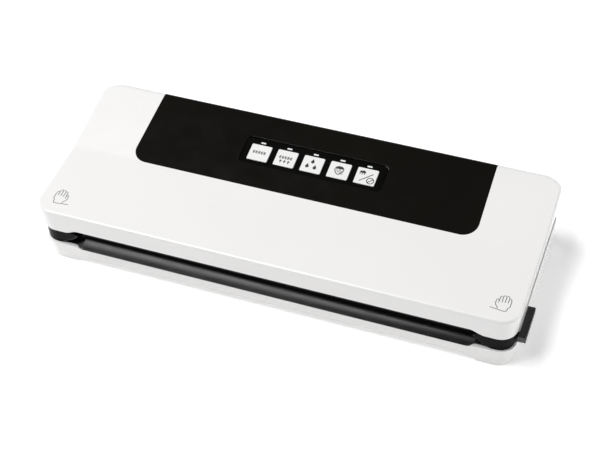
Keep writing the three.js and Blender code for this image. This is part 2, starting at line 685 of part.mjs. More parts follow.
// The opening for the drip tray, the heater's channel and the opening over the works.
function withWells(bare) {
  const halfHeater = HEATER.halfX + GAP;
  const channelX = [-halfHeater - 1.5, halfHeater + 1.5];
  const channel = block(...channelX, HEATER.front - 1.8, HEATER.back + 1.8, 20.3, DECK_TOP);
  const groove = block(-halfHeater, halfHeater, HEATER.front - GAP, HEATER.back + GAP, 22.5, DECK_TOP + 1);
  const worksY = (COVER.front + COVER.back) / 2;
  const works = roundedRect(2 * COVER.halfX - 6, COVER.back - COVER.front - 6, 3, 0, worksY);
  const rimSeat = DECK_TOP - TRAY.rimThickness - GAP;
  return cut(
    join(bare, channel),
    groove,
    solid(prismZ(works, DECK_UNDER - 1, DECK_TOP + 1)),
    solid(prismZ(trayOutline(TRAY.wall + GAP), DECK_UNDER - 1, DECK_TOP + 1)),
    solid(prismZ(trayOutline(TRAY.wall + TRAY.rim + GAP), rimSeat, DECK_TOP + 1)),
  );
}

// Plan outline of the trough, moved outwards by the given distance.
function trayOutline(grow) {
  const { halfX, front, back, corner } = TROUGH;
  return roundedRect(2 * (halfX + grow), back - front + 2 * grow, corner + grow, 0, (front + back) / 2);
}

// The tray that hangs in the deck by its rim; its hollow is the vacuum trough.
function dripTray() {
  const { bottom, back } = TROUGH;
  const { wall, rim, rimThickness } = TRAY;
  const box = solid(prismZ(trayOutline(wall), bottom - 2, DECK_TOP));
  const flange = solid(prismZ(trayOutline(wall + rim), DECK_TOP - rimThickness, DECK_TOP));
  const holes = PORTS.map((port) => rod('y', 2.9, back - 1, back + 4, port.x, HOSE_LEVEL, 12));
  return cut(join(box, flange), solid(prismZ(trayOutline(0), bottom, DECK_TOP + 1)), ...holes);
}

function latchAndHingeDetails(bare) {
  let deck = bare;
  for (const side of SIDES) {
    for (const [x, y] of BASE_SCREWS) {
      const post = rod('z', 4, SEAT_TOP + GAP, DECK_UNDER + 0.5, side * x, y);
      const holeTop = BASE_SCREW_Z + SCREW.headHeight + SCREW.reach + 2;
      const hole = rod('z', SCREW.shank + HOLE_CLEARANCE, SEAT_TOP, holeTop, side * x, y, 10);
      deck = cut(join(deck, post), hole);
    }
    for (const end of SIDES) deck = join(deck, knuckle(side, end));
    const halfNotch = ARM_WIDTH / 2 + GAP;
    const notch = [HINGE_X - halfNotch, HINGE_X + halfNotch, HINGE.y - 6, BACK, BASE_EDGE, RIM_TOP];
    deck = cut(deck, sideBlock(side, ...notch));
  }
  deck = cut(join(deck, springPost()), ...Object.values(HOOKS).map(hookSlot), ...buttonWindows());
  return cut(deck, rod('x', HINGE.pinRadius + HOLE_CLEARANCE, -132, 132, HINGE.y, HINGE.z));
}

function springPost() {
  const inner = SPRING.inner - GAP - 2.3;
  return block(inner, inner + 2, SPRING.y - 4, SPRING.y + 4, 17, DECK_UNDER + 0.5);
}

// The slot that a hook drops through.
function hookSlot(x) {
  return block(x - 2.6, x + 3.6, HOOK.front - 2, HOOK.back + 2, DECK_UNDER - 1, DECK_TOP + 1);
}

// The windows in the right side for the button's cap and neck.
function buttonWindows() {
  const clear = 0.4;
  const window = [177.4, LENGTH / 2 + 2.5];
  const { front, back, low, high } = BUTTON;
  return [
    block(...window, front - clear, back + clear, low - clear, high + clear),
    block(...window, SLIDER.front - clear, SLIDER.back + 3 + clear, SLIDER.low - clear, low),
  ];
}

// One of the two eyes beside a hinge arm, on its stand.
function knuckle(side, end) {
  const near = HINGE_X + end * (ARM_WIDTH / 2 + GAP);
  const far = near + end * KNUCKLE_WIDTH;
  const x0 = Math.min(side * near, side * far);
  const x1 = Math.max(side * near, side * far);
  const { knuckleRadius: radius, y, z } = HINGE;
  return join(rod('x', radius, x0, x1, y, z, 16), block(x0, x1, y - radius, y + radius, 19, z));
}

// The hood over the works, a box with a top parallel to the lid's tilted part.
function equipmentCover() {
  const { halfX, front, back, drop, wall } = COVER;
  const side = (inset, low) => polygon([
    [front + inset, low],
    [back - inset, low],
    [back - inset, tiltedHeight(back - inset, -drop - inset)],
    [front + inset, tiltedHeight(front + inset, -drop - inset)],
  ]);
  const low = DECK_TOP + GAP;
  const outer = solid(prismX(side(0, low), -halfX, halfX));
  const plan = solid(prismZ(roundedRect(2 * halfX, back - front, 4, 0, (front + back) / 2), 20, 60));
  return cut(outer.intersect(plan), solid(prismX(side(wall, low - 1), -halfX + wall, halfX - wall)));
}

// ---------------------------------------------------------------- pump and air path

const PORTS = [{ name: 'suction', x: 104 }, { name: 'vent', x: 128 }];
const HOSE = { front: TROUGH.back + 3.5, back: 14, outer: 4.2, inner: 2.9 };

function airPort(x) {
  const wallFace = TROUGH.back - GAP;
  const flange = rod('y', 4, wallFace - 1.2, wallFace, x, HOSE_LEVEL);
  const tube = rod('y', 2.5, wallFace - 0.5, HOSE.front + 6, x, HOSE_LEVEL, 12);
  const bore = rod('y', 1.4, wallFace - 3, HOSE.front + 8, x, HOSE_LEVEL, 10);
  return cut(join(flange, tube), bore);
}

function airHose(x) {
  const ring = new THREE.Shape();
  ring.absarc(x, HOSE_LEVEL, HOSE.outer, 0, 2 * Math.PI);
  const bore = new THREE.Path();
  bore.absarc(x, HOSE_LEVEL, HOSE.inner, 0, 2 * Math.PI);
  ring.holes.push(bore);
  return solid(prismY(ring, HOSE.front, HOSE.back, 6));
}

function nozzle(x, back) {
  const tube = rod('y', 2.5, HOSE.back - 5, back, x, HOSE_LEVEL, 12);
  return cut(tube, rod('y', 1.3, HOSE.back - 6, HOSE.back + 1, x, HOSE_LEVEL, 10));
}

function pumpMotor() {
  const { x0, x1, y, z, radius } = MOTOR;
  const can = rod('x', radius, x0, x1, y, z, 24);
  const boss = rod('x', 4, x0 - 2, x0 + 1, y, z);
  return join(can, boss);
}

function pumpHead() {
  const x0 = MOTOR.x1 + GAP;
  const body = block(x0, x0 + 22, 15, 41, 11, 35);
  const cap = rod('x', 10, x0 + 21, x0 + 24, MOTOR.y, MOTOR.z - 1.5, 16);
  return join(body, cap, nozzle(PORTS[0].x, 16));
}

function releaseValve() {
  const { x } = PORTS[1];
  const frame = block(x - 8, x + 8, 15, 31, 9, 27);
  const coil = rod('y', 6, 30, 38, x, HOSE_LEVEL);
  return join(frame, coil, nozzle(x, 16));
}

// ---------------------------------------------------------------- electrical pieces

function transformerCore() {
  const { x, y, halfX, halfY, low, high } = TRANSFORMER;
  const plates = block(x - halfX, x + halfX, y - halfY, y + halfY, low, high);
  const window = (middle) => block(middle - 5, middle + 5, y - 11.5, y + 11.5, low - 1, high + 1);
  return cut(plates, window(x - 12), window(x + 12));
}

// The winding, a ring around the core's middle leg.
function transformerCoil() {
  const { x, y, low, high } = TRANSFORMER;
  const ring = block(x - 16.6, x + 16.6, y - 11.1, y + 11.1, low - 4.5, high + 3.5);
  return cut(ring, block(x - 7.4, x + 7.4, y - 20, y + 20, low - GAP, high + GAP));
}

function powerBoard() {
  const { x0, x1, y0, y1, low, high } = POWER_BOARD;
  const plate = block(x0, x1, y0, y1, low, high);
  const seat = high - 0.5;
  const relay = block(x0 + 6, x0 + 25, y0 + 4, y0 + 19, seat, high + 15);
  const capacitor = rod('z', 6.5, seat, high + 17, x0 + 42, y0 + 12, 20);
  const smallCapacitor = rod('z', 4, seat, high + 12, x0 + 58, y0 + 12, 16);
  const heatSink = block(x0 + 72, x0 + 92, y0 + 24, y0 + 28, seat, high + 18);
  const chip = block(x0 + 74, x0 + 92, y0 + 8, y0 + 15, seat, high + 3);
  const terminals = block(x0 + 8, x0 + 34, y1 - 12, y1 - 3, seat, high + 9);
  return join(plate, relay, capacitor, smallCapacitor, heatSink, chip, terminals);
}

// A small switch on the floor; the hook's tip ends just over its lever.
function lidSwitch(side) {
  const body = sideBlock(side, 155.3, 161.7, SPRING.y - 6, SPRING.y + 6, FLOOR + GAP, 15.5);
  const lever = sideBlock(side, 156, 170, SPRING.y - 2, SPRING.y + 2, HOOK.low - 1.3, HOOK.low - 0.6);
  return join(body, lever);
}

function heaterBar() {
  const { halfX, front, back, top } = HEATER;
  return block(-halfX, halfX, front, back, 22.8, top);
}

function sealingWire() {
  const middle = (HEATER.front + HEATER.back) / 2;
  return block(-HEATER.halfX + 0.7, HEATER.halfX - 0.7, middle - 1.25, middle + 1.25, 25.9, 26.1);
}

function heatTape() {
  const middle = (HEATER.front + HEATER.back) / 2;
  return block(-HEATER.halfX + 0.2, HEATER.halfX - 0.2, middle - 4, middle + 4, 26.4, 26.6);
}

// ---------------------------------------------------------------- latch

// A push button in the right side. Its slider is a plate with an opening that the right hook hangs
// in; the opening's left edge lies over the hook's barb until the button is pressed.
function releaseButton() {
  const { front, back, low, high, inner, outer } = BUTTON;
  const cap = block(inner, outer, front, back, low, high);
  const neck = block(174, inner + 1.2, SLIDER.front, SLIDER.back + 3, SLIDER.low, SLIDER.high + 0.8);
  const plate = block(SLIDER.inner, 176, SLIDER.front, SLIDER.back, SLIDER.low, SLIDER.high);
  const peg = rod('x', 1.1, SPRING.outer - 1.7, SLIDER.inner + 0.2, SPRING.y, SPRING.z, 10);
  const { tabX, tabWidth, front: tabFront, back: tabBack } = LINK;
  const tabHole = block(tabX - GAP, tabX + tabWidth + GAP, tabFront - GAP, tabBack + GAP, 15, 22);
  return cut(join(cap, neck, plate, peg), hookOpening(HOOKS.right), tabHole);
}

// The link that carries the slider's movement to the left hook: a bar below the deck with a tab that
// stands in the slider's hole, and a plate of its own around the left hook.
function releaseLink() {
  const { front, back, low, high, tabX, tabWidth } = LINK;
  const bar = block(LINK_PLATE.x0 + 1, tabX + tabWidth, front, back, low, high);
  const tab = block(tabX, tabX + tabWidth, front, back, low, SLIDER.high);
  const riser = block(LINK_PLATE.x0 + 1, LINK_PLATE.x1 - 1, front, back, low, SLIDER.low + 1);
  const { x0, x1, front: plateFront, back: plateBack } = LINK_PLATE;
  const plate = block(x0, x1, plateFront, plateBack, SLIDER.low, SLIDER.high);
  return cut(join(bar, tab, riser, plate), hookOpening(HOOKS.left));
}

function hookOpening(x) {
  const y0 = HOOK.front - 1.5;
  const y1 = HOOK.back + 1.5;
  return block(x - 0.4, x + HOOK.thickness + 3.5, y0, y1, SLIDER.low - 0.1, SLIDER.high + 0.9);
}

// The return spring, drawn as short as it is when the button is pressed.
function releaseSpring() {
  const { inner, outer, y, z, radius, wire, turns } = SPRING;
  const stepsPerTurn = 8;
  class Helix extends THREE.Curve {
    getPoint(t) {
      const angle = t * turns * 2 * Math.PI;
      const x = inner + t * (outer - inner);
      return new THREE.Vector3(x, y + radius * Math.cos(angle), z + radius * Math.sin(angle));
    }
  }
  const section = new THREE.Shape();
  section.absarc(0, 0, wire, 0, 2 * Math.PI);
  return new THREE.ExtrudeGeometry(section, {
    extrudePath: new Helix(),
    steps: turns * stepsPerTurn,
    bevelEnabled: false,
    curveSegments: 3,
  });
}

function hingePin(side) {
  const reach = ARM_WIDTH / 2 + KNUCKLE_WIDTH;
  return rod('x', HINGE.pinRadius, side * HINGE_X - reach, side * HINGE_X + reach, HINGE.y, HINGE.z, 16);
}

// ---------------------------------------------------------------- assembly

const sealer = new THREE.Group();
const base = new THREE.Group();
const lid = new THREE.Group();
base.position.x = CASING_X;
lid.position.x = CASING_X;
const keypad = new THREE.Group();
keypad.applyMatrix4(panelFrame);
lid.add(keypad);
sealer.add(base, lid);

base.add(
  piece('base_shell', baseShell(), whiteGloss),
  piece('base_deck', baseDeck(), blackGloss),
  piece('drip_tray', dripTray(), blackSatin),
  piece('equipment_cover', equipmentCover(), blackSatin),
  piece('lower_gasket', gasketRing(DECK_TOP + GAP, 28.6), foam),
  piece('heater_bar', heaterBar(), phenolic),
  piece('sealing_wire', sealingWire(), steel),
  piece('heat_tape', heatTape(), tapeBrown),
  piece('pump_motor', pumpMotor(), steel),
  piece('pump_head', pumpHead(), blackSatin),
  piece('release_valve', releaseValve(), steel),
  piece('transformer_core', transformerCore(), ironCore),
  piece('transformer_coil', transformerCoil(), coilWrap),
  piece('power_board', powerBoard(), boardGreen),
  piece('cord_inlet', cordInlet(), rubber),
  piece('release_button', releaseButton(), blackSatin),
  piece('release_link', releaseLink(), blackSatin),
  piece('release_spring', releaseSpring(), steel),
);
for (const { name, x } of PORTS) {
  base.add(piece(`${name}_port`, airPort(x), blackSatin), piece(`${name}_hose`, airHose(x), silicone));
}

lid.add(
  piece('lid_shell', lidShell(), whiteGloss),
  piece('control_panel', controlPanel(), blackGloss),
  piece('lid_liner', lidLiner(), blackSatin),
  piece('upper_gasket', gasketRing(28.9, LINER_LOW - GAP), foam),
  piece('pressure_strip', pressureStrip(), silicone),
);

keypad.add(
  piece('keypad_bezel', keypadBezel(), blackMatte),
  piece('light_guide', lightGuide(), clearLens),
  piece('keypad_board', keypadBoard(), boardGreen),
);
KEY_NAMES.forEach((name, i) => {
  const key = piece(name, keyCap(), keyWhite);
  key.position.set(keyCentres[i], KEY_ROW, 0);
  keypad.add(key);
});

for (const side of SIDES) {
  const name = sideName(side);
  base.add(
    piece(`lid_switch_${name}`, lidSwitch(side), blackSatin),
    piece(`hinge_pin_${name}`, hingePin(side), steel),
  );
  lid.add(piece(`latch_hook_${name}`, latchHook(HOOKS[name]), blackSatin));
  for (const [row, [x, y]] of [['front', LID_SCREWS[0]], ['back', LID_SCREWS[1]]]) {
    lid.add(screwPiece(`lid_screw_${row}_${name}`, side * x, y, LINER_LOW - GAP - SCREW.headHeight));
  }
  for (const [row, [x, y]] of [['front', BASE_SCREWS[0]], ['back', BASE_SCREWS[1]]]) {
    base.add(screwPiece(`base_screw_${row}_${name}`, side * x, y, BASE_SCREW_Z));
  }
  for (const [row, [x, y]] of [['back', FOOT_PADS[0]], ['front', FOOT_PADS[1]]]) {
    const pad = piece(`foot_pad_${row}_${name}`, footPad(), rubber);
    pad.position.set(side * x, y, 0);
    base.add(pad);
  }
}

export default sealer;
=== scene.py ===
import json
import math

import bmesh
import bpy
from mathutils import Matrix, Vector


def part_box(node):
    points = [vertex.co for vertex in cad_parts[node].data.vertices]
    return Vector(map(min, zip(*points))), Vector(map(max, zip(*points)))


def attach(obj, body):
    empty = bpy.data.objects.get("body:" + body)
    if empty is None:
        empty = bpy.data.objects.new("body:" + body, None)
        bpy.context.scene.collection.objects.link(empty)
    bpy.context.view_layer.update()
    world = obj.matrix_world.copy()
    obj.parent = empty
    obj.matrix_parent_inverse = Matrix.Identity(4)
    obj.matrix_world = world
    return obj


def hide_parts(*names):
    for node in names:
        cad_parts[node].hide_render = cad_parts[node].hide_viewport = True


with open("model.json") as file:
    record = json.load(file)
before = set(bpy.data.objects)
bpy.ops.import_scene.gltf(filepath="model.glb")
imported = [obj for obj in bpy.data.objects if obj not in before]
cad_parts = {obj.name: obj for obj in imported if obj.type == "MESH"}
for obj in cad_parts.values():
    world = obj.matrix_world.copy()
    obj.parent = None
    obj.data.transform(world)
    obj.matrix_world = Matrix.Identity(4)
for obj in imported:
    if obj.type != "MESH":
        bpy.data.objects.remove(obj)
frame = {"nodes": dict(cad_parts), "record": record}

MM = 0.001
scene = bpy.context.scene
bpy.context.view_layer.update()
record = frame["record"]
BODY_OF = {node: body for body, nodes in record["behaviour"]["bodies"].items() for node in nodes}
SLOT_OF = {part["node"]: part["material_slot"] for part in record["subparts"]}

# Sizes in mm, about the middle of the casing and up from the surface it stands on
HALF_LENGTH = 182.5
HALF_DEPTH = 70.0
CORNER = 14.5  # radius of the casing's corners in plan
TILT = math.radians(8.5)  # slope of the lid's rising part
LID_TOP = 51.0
LID_EDGE = 29.5
LID_SLOT_EDGE = 33.5  # the lid's lower edge over the bag slot
LID_NOTCH = (149.0, 160.0)  # where along the front the edge comes down again
LID_DRAFT = 1.8
LID_WALL = 3.0
FRONT_ROUND = 1.9
BACK_ROUND = 6.8
CREASE = -1.0  # where the lid's rising part begins
CREASE_HALF = 2.0
KNEE = LID_TOP - FRONT_ROUND
PANEL_CORNER = 12.0
PANEL_LOW_EDGE = 42.0
PANEL_HALF = 134.0  # the panel's half length in front, where it turns down, and at its low edge
PANEL_BACK_HALF = 133.0
PANEL_FOOT_HALF = 132.8
POCKET_DEPTH = 1.8
PANEL_DEPTH = 1.5
PANEL_GAP = 0.05
KEY_ROW = 31.05
KEY_PITCH = 21.05
KEY_MIDDLE = 0.8
KEY_CENTRES = [KEY_MIDDLE + KEY_PITCH * (i - 2) for i in range(5)]
KEY_FACE = -0.5  # level of the keys' faces below the panel's surface
lid_low, lid_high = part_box("lid_shell")

# Places: from the origin to the casing's middle, and from mm on the rising part of the lid to the casing
TO_CASING = Matrix.Translation(((lid_low.x + lid_high.x) / 2, 0, 0))
KEY_FRAME = Matrix.Translation((0, 0, LID_TOP * MM)) @ Matrix.Rotation(TILT, 4, "X") @ Matrix.Scale(MM, 4)


def smoothstep(t):
    t = min(max(t, 0.0), 1.0)
    return t * t * (3 - 2 * t)


# ---------------------------------------------------------------- materials

def tint(color, factor):
    return tuple(min(channel * factor, 1.0) for channel in color[:3]) + (1.0,)


class Surface:
    """A principled material whose colour, roughness and bump follow noise in the piece's own space."""

    def __init__(self, name, color, roughness, metallic=0.0):
        self.material = bpy.data.materials.new(name)
        self.material.use_nodes = True
        self.nodes = self.material.node_tree.nodes
        self.links = self.material.node_tree.links
        self.shader = self.nodes["Principled BSDF"]
        self.shader.inputs["Base Color"].default_value = (*color, 1.0)
        self.shader.inputs["Roughness"].default_value = roughness
        self.shader.inputs["Metallic"].default_value = metallic
        self.color = color
        self.roughness = roughness
        self.place = self.nodes.new("ShaderNodeTexCoord").outputs["Object"]

    def noise(self, per_mm, detail=3.0, stretch=None):
        """Noise of so many cells per mm, squeezed along each axis by stretch."""
        place = self.place
        if stretch:
            mapping = self.nodes.new("ShaderNodeMapping")
            mapping.inputs["Scale"].default_value = stretch
            self.links.new(place, mapping.inputs["Vector"])
            place = mapping.outputs["Vector"]
        noise = self.nodes.new("ShaderNodeTexNoise")
        noise.inputs["Scale"].default_value = per_mm / MM
        noise.inputs["Detail"].default_value = detail
        self.links.new(place, noise.inputs["Vector"])
        return noise.outputs["Fac"]

    def spread(self, source, low, high):
        """Maps the middle of a noise to the range from low to high."""
        node = self.nodes.new("ShaderNodeMapRange")
        node.inputs["From Min"].default_value = 0.3
        node.inputs["From Max"].default_value = 0.7
        node.inputs["To Min"].default_value = low
        node.inputs["To Max"].default_value = high
        self.links.new(source, node.inputs["Value"])
        return node.outputs["Result"]

    def vary_color(self, source, dark, light):
        """Makes the colour go from dark to light times its own, as the source does."""
        mix = self.nodes.new("ShaderNodeMix")
        mix.data_type = "RGBA"
        mix.inputs["A"].default_value = tint(self.color, dark)
        mix.inputs["B"].default_value = tint(self.color, light)
        self.links.new(self.spread(source, 0.0, 1.0), mix.inputs["Factor"])
        self.links.new(mix.outputs["Result"], self.shader.inputs["Base Color"])

    def vary_roughness(self, source, amount):
        low, high = self.roughness - amount, self.roughness + amount
        self.links.new(self.spread(source, low, high), self.shader.inputs["Roughness"])

    def bump(self, source, height_mm):
        node = self.nodes.new("ShaderNodeBump")
        node.inputs["Strength"].default_value = 1.0
        node.inputs["Distance"].default_value = height_mm * MM
        self.links.new(source, node.inputs["Height"])
        self.links.new(node.outputs["Normal"], self.shader.inputs["Normal"])


def moulded(name, color, roughness, flow, grain_mm, grain_per_mm, uneven, shine=0.5):
    """Moulded plastic: slow changes of tone and gloss from the mould's flow, and a very fine grain."""
    flow_per_mm, gloss_per_mm = 0.012, 0.06
    surface = Surface(name, color, roughness)
    surface.shader.inputs["Specular IOR Level"].default_value = shine
    surface.vary_color(surface.noise(flow_per_mm, 2.0), 1 - flow, 1 + flow)
    surface.vary_roughness(surface.noise(gloss_per_mm, 4.0), uneven)
    surface.bump(surface.noise(grain_per_mm, 2.0), grain_mm)
    return surface


# Moulded finishes: colour, roughness, flow, grain height in mm, grains per mm, unevenness and any shine
PLASTICS = {
    "white_shell": ((0.775, 0.767, 0.763), 0.22, 0.012, 0.0015, 0.5, 0.04),
    "black_gloss": ((0.0045, 0.004, 0.003), 0.12, 0.15, 0.0006, 0.4, 0.025, 0.4),
    "black_satin": ((0.014, 0.014, 0.014), 0.34, 0.12, 0.006, 2.2, 0.05),
    "black_matte": ((0.0012, 0.0012, 0.001), 0.7, 0.12, 0.008, 3.0, 0.06, 0.04),
    "key_white": ((0.74, 0.735, 0.73), 0.38, 0.012, 0.004, 3.0, 0.04),
    "clear_lens": ((0.78, 0.79, 0.79), 0.2, 0.03, 0.002, 1.0, 0.05),
    "foam": ((0.03, 0.03, 0.032), 0.92, 0.35, 0.12, 2.5, 0.05),
    "silicone": ((0.26, 0.27, 0.28), 0.6, 0.06, 0.01, 1.2, 0.08),
    "phenolic": ((0.11, 0.07, 0.045), 0.55, 0.2, 0.02, 1.5, 0.1),
    "circuit_board": ((0.015, 0.1, 0.045), 0.4, 0.2, 0.01, 0.8, 0.1),
    "coil_wrap": ((0.5, 0.33, 0.03), 0.45, 0.1, 0.02, 0.9, 0.1),
    "rubber": ((0.014, 0.014, 0.015), 0.75, 0.2, 0.02, 2.0, 0.08),
}


def woven_tape():
    surface = Surface("heat_tape", (0.26, 0.16, 0.08), 0.42)
    weave = surface.nodes.new("ShaderNodeTexWave")
    weave.inputs["Scale"].default_value = 260.0
    weave.inputs["Distortion"].default_value = 0.6
    surface.links.new(surface.place, weave.inputs["Vector"])
    surface.vary_color(weave.outputs["Fac"], 0.86, 1.1)
    surface.vary_roughness(surface.noise(0.3), 0.08)
    surface.bump(weave.outputs["Fac"], 0.03)
    return surface


def brushed_steel():
    along_x = (1.0, 8.0, 8.0)
    surface = Surface("steel", (0.55, 0.56, 0.57), 0.3, 1.0)
    surface.vary_color(surface.noise(0.2), 0.92, 1.05)
    surface.vary_roughness(surface.noise(0.4, 4.0, along_x), 0.08)
    surface.bump(surface.noise(0.9, 2.0, along_x), 0.006)
    return surface


def layered_iron():
    across_layers = (1.0, 1.0, 6.0)
    surface = Surface("core_iron", (0.11, 0.11, 0.115), 0.5, 0.8)
    surface.vary_color(surface.noise(0.5, 4.0), 0.75, 1.2)
    surface.vary_roughness(surface.noise(0.3), 0.12)
    surface.bump(surface.noise(1.2, 3.0, across_layers), 0.04)
    return surface


def make_materials():
    """The material of each of the record's slots, by name."""
    surfaces = {name: moulded(name, *finish) for name, finish in PLASTICS.items()}
    surfaces["heat_tape"] = woven_tape()
    surfaces["steel"] = brushed_steel()
    surfaces["core_iron"] = layered_iron()
    return {name: surface.material for name, surface in surfaces.items()}


MATERIALS = make_materials()
# Finishes of new pieces that differ from their slot's own
OTHER_FINISHES = {
    "deck_black": ((0.0028, 0.0025, 0.0021), 0.2, 0.15, 0.0008, 0.4, 0.03, 0.26),
    "rim_black": ((0.0012, 0.0011, 0.001), 0.34, 0.15, 0.0015, 0.8, 0.03, 0.05),
    "ink_dark": ((0.012, 0.012, 0.012), 0.5, 0.1, 0.001, 4.0, 0.05),
    "ink_grey": ((0.16, 0.16, 0.16), 0.4, 0.06, 0.001, 4.0, 0.05),
}
DECK_BLACK, RIM_BLACK, INK, INK_GREY = (
    moulded(name, *finish).material for name, finish in OTHER_FINISHES.items()
)


# ---------------------------------------------------------------- mesh helpers

def make_object(name, bm, place=TO_CASING):
    """Makes an object from a mesh drawn about the middle of the casing."""
    bmesh.ops.recalc_face_normals(bm, faces=bm.faces)
    bm.transform(place)
    mesh = bpy.data.meshes.new(name)
    bm.to_mesh(mesh)
    bm.free()
    thing = bpy.data.objects.new(name, mesh)
    scene.collection.objects.link(thing)
    return thing


def finish_piece(thing, body, slot, material=None, replaced=(), smooth_angle=32.0):
    """Shades a piece smooth between its sharp edges, gives it its finish and joins it to its body."""
    for polygon in thing.data.polygons:
        polygon.use_smooth = True
    thing.data.set_sharp_from_angle(angle=math.radians(smooth_angle))
    thing.data.materials.clear()
    thing.data.materials.append(material or MATERIALS[slot])
    if replaced:
        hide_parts(*replaced)
    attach(thing, body)


def settle(thing):
    """Makes the result of an object's modifiers its mesh."""
    graph = bpy.context.evaluated_depsgraph_get()
    mesh = bpy.data.meshes.new_from_object(thing.evaluated_get(graph))
    old = thing.data
    thing.modifiers.clear()
    thing.data = mesh
    bpy.data.meshes.remove(old)


def carve(thing, *cutters):
    """Cuts other objects out of a piece and removes them."""
    for cutter in cutters:
        modifier = thing.modifiers.new("carve", "BOOLEAN")
        modifier.operation = "DIFFERENCE"
        modifier.solver = "EXACT"
        modifier.object = cutter
        settle(thing)
        bpy.data.objects.remove(cutter)


def soften(thing, width_mm, segments=3, angle=32.0):
    """Rounds the sharp edges of a piece."""
    modifier = thing.modifiers.new("soften", "BEVEL")
    modifier.width = width_mm * MM
    modifier.segments = segments
    modifier.limit_method = "ANGLE"
    modifier.angle_limit = math.radians(angle)
    modifier.use_clamp_overlap = True
    settle(thing)


def weigh_normals(thing):
    """Keeps large flat faces flat where they meet rounded edges."""
    modifier = thing.modifiers.new("weighted", "WEIGHTED_NORMAL")
    modifier.mode = "FACE_AREA"
    modifier.weight = 80
    modifier.keep_sharp = True


def bridge(bm, loop_a, loop_b):
    """Joins two closed loops of as many points with a band of faces."""
    count = len(loop_a)
    for i in range(count):
        j = (i + 1) % count
        bm.faces.new((loop_a[i], loop_a[j], loop_b[j], loop_b[i]))


def prism(outline, low, high, place=Matrix.Scale(MM, 4)):
    """A closed prism over a plan outline, between two levels in mm, moved by a matrix."""
    bm = bmesh.new()
    bottom = [bm.verts.new(place @ Vector((x, y, low))) for x, y in outline]
    top = [bm.verts.new(place @ Vector((x, y, high))) for x, y in outline]
    bm.faces.new(bottom[::-1])
    bm.faces.new(top)
    bridge(bm, bottom, top)
    return bm


def rounded_rect(width, depth, radius, x, y, steps=6):
    points = []
    for turn, (sx, sy) in enumerate(((1, -1), (1, 1), (-1, 1), (-1, -1))):
        cx = x + sx * (width / 2 - radius)
        cy = y + sy * (depth / 2 - radius)
        for k in range(steps + 1):
            angle = math.radians(90 * (turn - 1) + 90 * k / steps)
            points.append((cx + radius * math.cos(angle), cy + radius * math.sin(angle)))
    return points


# ---------------------------------------------------------------- lid shell

CREASE_STEPS = [CREASE_HALF * k / 2 for k in range(-2, 3)]
CORNER_STEPS = 14
ROUND_STEPS = 10
TOP_INSET = 12.5  # how far in the flat top's outline lies


def height(y):
    """Level of the lid's top, with a soft crease where the rising part begins."""
    rise = math.tan(TILT)
    beyond = y - CREASE
    if beyond <= -CREASE_HALF:
        return LID_TOP
    if beyond >= CREASE_HALF:
        return LID_TOP + beyond * rise
    return LID_TOP + rise * (beyond + CREASE_HALF) ** 2 / (4 * CREASE_HALF)


def outline_stations():
    """Points round the lid's plan outline from the front left corner, as (x, y, normal x, normal y)."""
    reach_x = HALF_LENGTH - CORNER
    reach_y = HALF_DEPTH - CORNER
    inner, outer = LID_NOTCH
    notch = [inner + (outer - inner) * k / 12 for k in range(13)]
    front = [-reach_x, *[-x for x in reversed(notch)], -100, -50, 0, 50, 100, *notch, reach_x]
    stations = [(x, -HALF_DEPTH, 0, -1) for x in front]

    def corner(cx, cy, start):
        for k in range(1, CORNER_STEPS):
            angle = math.radians(start + 90 * k / CORNER_STEPS)
            nx, ny = math.cos(angle), math.sin(angle)
            stations.append((cx + CORNER * nx, cy + CORNER * ny, nx, ny))

    side = [-reach_y, -30, *(CREASE + step for step in CREASE_STEPS), 30, reach_y]
    corner(reach_x, -reach_y, -90)
    stations.extend((HALF_LENGTH, y, 1, 0) for y in side)
    corner(reach_x, reach_y, 0)
    back = [reach_x, PANEL_BACK_HALF, 60, 0, -60, -PANEL_BACK_HALF, -reach_x]
    stations.extend((x, HALF_DEPTH, 0, 1) for x in back)
    corner(-reach_x, reach_y, 90)
    stations.extend((-HALF_LENGTH, y, -1, 0) for y in reversed(side))
    corner(-reach_x, -reach_y, 180)
    return stations


def along_front(x, stretch):
    """From 0 to 1 over a stretch of the front, the same on the left and the right."""
    inner, outer = stretch
    return smoothstep((abs(x) - inner) / (outer - inner))


def lower_edge(x, y):
    """Level of the lid's lower edge, which is higher over the bag slot."""
    if y > -HALF_DEPTH + CORNER:
        return LID_EDGE
    return LID_SLOT_EDGE - (LID_SLOT_EDGE - LID_EDGE) * along_front(x, LID_NOTCH)


def lid_section(station):
    """The lid's wall at one station: two lists of (inset, level), down its outside and up its inside.
    A level of None is the lid's top there."""
    x, y, nx, ny = station
    back = max(ny, 0.0)
    alpha = math.atan(-back * math.tan(TILT))
    radius = FRONT_ROUND + (BACK_ROUND - FRONT_ROUND) * smoothstep(back)
    centre = height(y) + radius * math.tan(alpha) - radius / math.cos(alpha)
    edge = lower_edge(x, y)
    lean = (LID_DRAFT / (KNEE - LID_EDGE)) * (1 - smoothstep(back))
    outer = [(TOP_INSET, None)]
    for k in range(ROUND_STEPS, -1, -1):
        theta = (math.pi / 2 - alpha) * k / ROUND_STEPS
        outer.append((radius * (1 - math.cos(theta)), centre + radius * math.sin(theta)))
    outer.append((lean, KNEE - 1.0))
    for rise, inward in ((0.9, 0.0), (0.4, 0.1), (0.1, 0.4)):
        outer.append((lean * (KNEE - edge - rise) + inward, edge + rise))
    outer.append((lean * (KNEE - edge) + 0.8, edge))
    inner_top = height(y) - LID_WALL - 2.0
    inner = [
        (LID_WALL + lean * (KNEE - edge) - 0.6, edge),
        (LID_WALL + lean * (KNEE - edge), edge + 0.6),
        (LID_WALL + back * 4.0, inner_top - back * 3.0),
        (LID_WALL + 0.8 + back * 5.0, inner_top + 1.4 - back * 1.2),
        (TOP_INSET, None),
    ]
    return outer, inner


